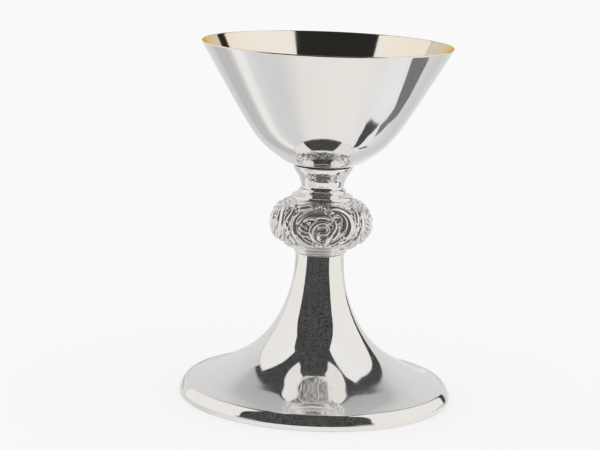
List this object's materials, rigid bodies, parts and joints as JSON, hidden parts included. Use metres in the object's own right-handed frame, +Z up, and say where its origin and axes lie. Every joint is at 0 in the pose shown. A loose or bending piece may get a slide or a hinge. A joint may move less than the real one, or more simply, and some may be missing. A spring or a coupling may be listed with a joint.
{
  "type": "communion chalice",
  "caption": "Silver-plated communion chalice with a gilt flared cup, cast scroll knop and trumpet foot, held by a tie rod and nut.",
  "frame": {"origin": "centre of the foot, on the plane that it stands on", "axes": "+Z up along the stem; -Y towards the viewer, at the knop's front cartouche"},
  "size_m": [0.134, 0.134, 0.175],
  "materials": {
    "silver_plate": "polished silver plate",
    "cast_silver": "cast relief, polished on its high points and oxidised in its recesses",
    "turned_brass": "turned, unplated",
    "bright_steel": "bright",
    "washer_leather": "cut leather"
  },
  "bodies": {
    "foot": {"foot_shell": "silver_plate", "foot_band": "silver_plate", "base_wire": "turned_brass", "stem_top_plate": "turned_brass"},
    "stem": {"reeded_collar": "silver_plate", "knop_base": "silver_plate", "knop_lower_shell": "cast_silver", "knop_upper_shell": "cast_silver", "knop_core": "turned_brass", "knop_shoulder": "silver_plate", "neck_collar": "silver_plate", "seat_washer": "washer_leather"},
    "cup": {"cup": "silver_plate", "cup_boss": "turned_brass", "tie_rod": "bright_steel"},
    "washers": {"pressure_plate": "turned_brass", "lock_washer": "bright_steel"},
    "nut": {"clamp_nut": "bright_steel"}
  },
  "joints": [
    {"name": "stem_lift", "type": "slide", "parent": "foot", "child": "stem", "axis": [0, 0, 1], "range_m": [0, 0.03]},
    {"name": "cup_lift", "type": "slide", "parent": "stem", "child": "cup", "axis": [0, 0, 1], "range_m": [0, 0.1]},
    {"name": "washers_drop", "type": "slide", "parent": "foot", "child": "washers", "axis": [0, 0, -1], "range_m": [0, 0.01]},
    {"name": "nut_turn", "type": "hinge", "parent": "washers", "child": "nut", "pos_m": [0, 0, 0.0305], "axis": [0, 0, -1], "range_deg": [0, 3601]}
  ],
  "couplings": [
    {"joint": "nut_turn", "follows": "washers_drop", "rad_per_m": 6283.2}
  ]
}
